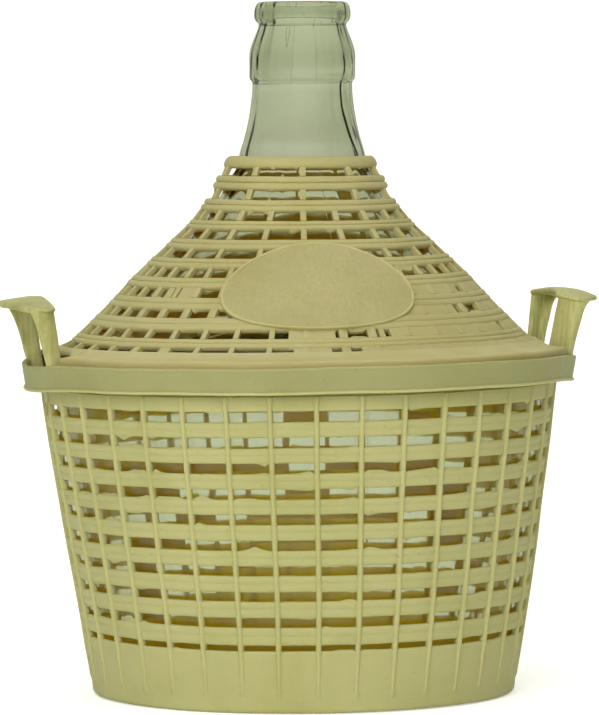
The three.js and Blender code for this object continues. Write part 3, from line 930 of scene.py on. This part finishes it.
# -------------------------------------------------------------- glass bottle
def build_bottle():
    cover = Outline(COVER_OUTLINE)
    t = np.linspace(cover.at_height(160.5), cover.at_height(238.5), 16)
    r, z, nr, nz = cover.at(t)
    sh_out = list(zip(r - 4.3 * nr, z - 4.3 * nz))
    sh_in = list(zip(r - 7.2 * nr, z - 7.2 * nz))
    body = [(0, 6.6), (20, 6.5), (40, 6.2), (55, 5.5), (64, 4.0), (70, 2.9), (76, 2.8), (83, 2.85), (87.4, 3.9), (90.2, 6.2), (92.2, 9.6),
            (94.0, 14.0), (97.6, 28), (101.2, 45.0), (105.0, 68), (108.3, 91.0), (111.0, 110), (112.3, 125.0), (112.3, 138.0), (110.6, 147.0), (108.0, 152.8)]
    neck = [(30.1, 243.6), (28.8, 250.4), (26.9, 256.6), (25.2, 263.4), (24.0, 270.0), (23.15, 277.0), (22.9, 281.2), (22.95, 282.5),
            (23.25, 283.2), (23.8, 283.7), (24.15, 284.4), (24.3, 285.6), (24.3, 290.0), (24.35, 294.6), (24.15, 297.0), (23.45, 299.8),
            (22.35, 302.8), (21.25, 305.4), (20.45, 307.6), (20.1, 309.0), (20.35, 310.0), (21.3, 310.9), (21.95, 312.2), (22.15, 314.2),
            (21.95, 316.4), (21.3, 318.3), (20.1, 319.6), (18.6, 320.0), (17.2, 319.7)]
    bore = [(17.2, 318.9), (16.9, 317.4), (17.1, 312.0), (18.2, 305.0), (20.1, 298.0), (21.4, 290.0), (21.0, 280.0), (21.7, 271.0), (23.6, 262.0), (27.0, 252.6), (28.8, 246.0)]
    outer = smooth_points(body[2:] + sh_out + neck, 1.8)
    inner_body = [(105.4, 152.6), (108.0, 146.2), (109.5, 138.0), (109.5, 125), (108.2, 110), (105.5, 91.0), (102.2, 68), (98.4, 45), (94.8, 28),
                  (91.3, 15.0), (88.2, 10.6), (83.0, 8.8), (70.0, 8.7), (55, 9.4), (40, 10.2), (20, 10.7)]
    inner = smooth_points(bore + sh_in[::-1] + inner_body, 2.6)
    line = [(0, 6.6), (20, 6.5)] + [tuple(p) for p in outer] + [tuple(p) for p in inner] + [(0, 10.8)]
    seam = [SEAM_AZ + d + o for o in (0, 180) for d in (-0.85, -0.5, -0.3, 0, 0.3, 0.5, 0.85)]
    v, f, ang = turned_solid(line, 240, seam)
    m = len(line) - 2
    j = np.arange(len(v)) % m
    ringed = np.arange(len(v)) < len(ang) * m
    outside = ringed & (j < 1 + len(outer))
    inside = ringed & ~outside
    az = np.degrees(np.arctan2(v[:, 0], -v[:, 1]))
    rad = np.hypot(v[:, 0], v[:, 1])
    zz = v[:, 2].copy()
    push = np.zeros(len(v))
    # a fine mould seam up both sides of the glass
    d = np.minimum(np.abs((az - SEAM_AZ + 180) % 360 - 180), np.abs((az - SEAM_AZ) % 360 - 180))
    push += np.where(outside & (zz > 12) & (zz < 312), 0.34 * np.clip((0.27 - np.radians(d) * rad) / 0.12, 0, 1) * np.where(zz > 282, 1.0, 0.3), 0.0)
    # blown glass: upright waves in the neck, and a fold inside its right-hand wall
    up = np.clip((zz - 215) / 25, 0, 1)
    for k, size, ph in ((7, 0.07, 0.4), (13, 0.05, 2.1), (22, 0.035, 4.0), (37, 0.018, 1.3)):
        wave = size * np.sin(k * np.radians(az) + ph + 0.6 * np.sin(zz / 21.0 + ph))
        push += up * np.where(outside, wave, 0.0)
        push += up * np.where(inside, 1.7 * size * np.sin(k * np.radians(az) + 2.3 * ph + 0.9 * np.sin(zz / 17.0 + ph)), 0.0)
    fold = 47.0 + (283.0 - zz) / 33.0 * 8.0 + 1.0 * np.sin(zz / 2.3)
    d = np.abs((az - fold + 180) % 360 - 180)
    push -= np.where(inside & (zz > 244) & (zz < 284), 0.6 * np.exp(-(np.radians(d) * rad / 0.8) ** 2), 0.0) * np.clip((284 - zz) / 5, 0, 1) * np.clip((zz - 244) / 5, 0, 1)
    # and the glass isn't perfectly round
    push += 0.22 * np.sin(2 * np.radians(az) + zz / 60.0) * np.clip((zz - 20) / 60, 0, 1)
    v[:, 0] *= 1 + push / np.maximum(rad, 8)
    v[:, 1] *= 1 + push / np.maximum(rad, 8)
    # the neck stands a little off the middle of the body
    lean = np.clip((zz - 170) / 78, 0, 1)
    lean = 0.9 * lean * lean * (3 - 2 * lean) + 0.5 * np.clip((zz - 250) / 70, 0, 1)
    v[:, 0] += lean * math.cos(math.radians(VIEW_AZ))
    v[:, 1] += lean * math.sin(math.radians(VIEW_AZ))
    off = np.where(inside, 0.85 * np.clip((zz - 246) / 20, 0, 1) * np.clip((290 - zz) / 8, 0, 1), 0.0)
    v[:, 0] -= off * math.cos(math.radians(VIEW_AZ))
    v[:, 1] -= off * math.sin(math.radians(VIEW_AZ))
    ob = add_object("bottle_glass", v, f, GLASS_MAT, 60.0)
    outward(ob)
    return ob


# ------------------------------------------------------------------ assembly
basket = build_basket()
band = build_band()
grips = [build_handle("handle_left"), build_handle("handle_right")]
bottle = build_bottle()
cover = build_cover()
brim = build_brim()
plate = build_plate()

for ob in (basket, band, *grips):
    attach(ob, "basket")
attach(bottle, "bottle")
for ob in (cover, brim, plate):
    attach(ob, "cover")
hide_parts("lower_basket")
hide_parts("handle_left")
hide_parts("handle_right")
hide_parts("glass_bottle")
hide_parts("upper_cover")


# ------------------------------------------------------- floor, light, camera
def build_floor():
    """A pale sweep: a flat floor that curves up far behind the object."""
    prof = [(-3.2, 0.0), (-1.0, 0.0), (0.0, 0.0), (1.6, 0.0)]
    for k in range(1, 13):
        a = math.pi / 2 * k / 12
        prof.append((1.6 + 1.2 * math.sin(a), 1.2 - 1.2 * math.cos(a)))
    prof.append((2.8, 3.4))
    a = math.radians(VIEW_AZ)
    fwd = np.array([-math.sin(a), math.cos(a)])
    side = np.array([math.cos(a), math.sin(a)])
    verts, faces = [], []
    for d, z in prof:
        for s in (-4.0, 4.0):
            p = fwd * d + side * s
            verts.append((p[0] * 1000, p[1] * 1000, z * 1000 - 0.05))
    for k in range(len(prof) - 1):
        faces.append((2 * k, 2 * k + 1, 2 * k + 3, 2 * k + 2))
    ob = add_object("floor", verts, faces, floor_paper("floor_paper"), 60.0, askew=False)
    if sum(q.normal.z for q in ob.data.polygons) < 0:
        ob.data.flip_normals()
    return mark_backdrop(ob) or ob


build_floor()


def area_light(name, az, el, dist, size, power, colour=(1, 1, 1), aim=(0, 0, 0.15)):
    a, e = math.radians(az), math.radians(el)
    light = bpy.data.lights.new(name, "AREA")
    light.shape = "DISK"
    light.size = size
    light.energy = power
    light.color = colour
    ob = bpy.data.objects.new(name, light)
    ob.location = (math.sin(a) * math.cos(e) * dist, -math.cos(a) * math.cos(e) * dist, math.sin(e) * dist + aim[2])
    ob.rotation_euler = (Vector(aim) - ob.location).to_track_quat("-Z", "Y").to_euler()
    scene.collection.objects.link(ob)
    ob.visible_glossy = False
    ob.visible_transmission = False
    return ob


area_light("key", VIEW_AZ - 12, 22, 2.6, 1.3, 29.0, (1.0, 0.99, 0.96))
area_light("top", VIEW_AZ, 80, 2.4, 2.0, 11.5)
area_light("back", VIEW_AZ + 180, 38, 2.2, 1.6, 6.0)

world = bpy.data.worlds.new("studio")
world.use_nodes = True
scene.world = world
bg = world.node_tree.nodes["Background"]
bg.inputs["Color"].default_value = (0.95, 0.955, 0.84, 1.0)
# the room is darker to both sides of the viewer
wn, wl = world.node_tree.nodes, world.node_tree.links
where = wn.new("ShaderNodeTexCoord")
across = wn.new("ShaderNodeVectorMath")
across.operation = "DOT_PRODUCT"
across.inputs[1].default_value = (math.cos(math.radians(VIEW_AZ)), math.sin(math.radians(VIEW_AZ)), 0.0)
size = wn.new("ShaderNodeMath")
size.operation = "ABSOLUTE"
fall = wn.new("ShaderNodeMapRange")
for k, v in enumerate((0.25, 0.9, 0.62, 0.16)):
    fall.inputs[k + 1].default_value = v
wl.new(where.outputs["Generated"], across.inputs[0])
wl.new(across.outputs["Value"], size.inputs[0])
wl.new(size.outputs[0], fall.inputs[0])
# and its walls are uneven
stretch = wn.new("ShaderNodeMapping")
stretch.inputs["Scale"].default_value = (1.0, 1.0, 0.12)
patches = wn.new("ShaderNodeTexNoise")
patches.inputs["Scale"].default_value = 7.0
patches.inputs["Detail"].default_value = 2.0
uneven = wn.new("ShaderNodeMapRange")
for k, v in enumerate((0.3, 0.7, 0.75, 1.25)):
    uneven.inputs[k + 1].default_value = v
both = wn.new("ShaderNodeMath")
both.operation = "MULTIPLY"
wl.new(where.outputs["Generated"], stretch.inputs["Vector"])
wl.new(stretch.outputs["Vector"], patches.inputs["Vector"])
wl.new(patches.outputs["Fac"], uneven.inputs[0])
wl.new(fall.outputs[0], both.inputs[0])
wl.new(uneven.outputs[0], both.inputs[1])
wl.new(both.outputs[0], bg.inputs["Strength"])

scene.view_settings.view_transform = "Standard"
scene.view_settings.look = "None"

cam = bpy.data.cameras.new("camera")
cam.sensor_fit = "VERTICAL"
cam.sensor_height = 24.0
cam.lens = 5400.0 / 715.0 * 24.0
cam.clip_end = 50.0
cam_ob = bpy.data.objects.new("camera", cam)
a = math.radians(VIEW_AZ)
cam_ob.location = (math.sin(a) * 2.502, -math.cos(a) * 2.502, 0.276)
right = Vector((math.cos(a), math.sin(a), 0.0))
target = Vector((0.0, 0.0, 0.1552)) - right * (1.7 * 0.4634 * MM)
quat = (target - cam_ob.location).to_track_quat("-Z", "Y")
cam_ob.rotation_mode = "QUATERNION"
from mathutils import Quaternion
cam_ob.rotation_quaternion = quat @ Quaternion((0, 0, 1), math.radians(-0.3))
scene.collection.objects.link(cam_ob)
scene.camera = cam_ob
